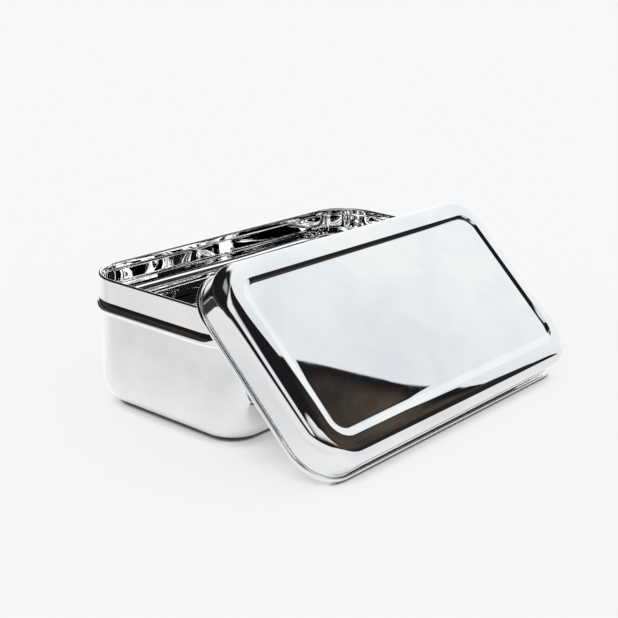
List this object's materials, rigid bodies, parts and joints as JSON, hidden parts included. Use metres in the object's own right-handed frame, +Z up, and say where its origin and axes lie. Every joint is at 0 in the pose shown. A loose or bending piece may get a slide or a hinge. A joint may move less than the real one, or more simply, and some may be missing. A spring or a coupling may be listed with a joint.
{
  "type": "tiffin lunch box",
  "caption": "Rectangular stainless tiffin box: drawn container with a pressed lid-stop bead and folded rim, and a loose sunk-panel lid leaning on its long side.",
  "frame": {"origin": "centre of the container's flat base, on the ground", "axes": "+X along the container's long side, -Y towards the leaning lid, +Z up"},
  "size_m": [0.1784, 0.1363, 0.0705],
  "materials": {
    "container_steel": "polished stainless steel",
    "lid_steel": "polished stainless steel"
  },
  "bodies": {
    "container": {"container": "container_steel"},
    "lid": {"lid": "lid_steel"}
  },
  "joints": [
    {"name": "lid_lift", "type": "slide", "parent": "container", "child": "lid", "axis": [0, 0, 1], "range_m": [0, 0.1]}
  ]
}
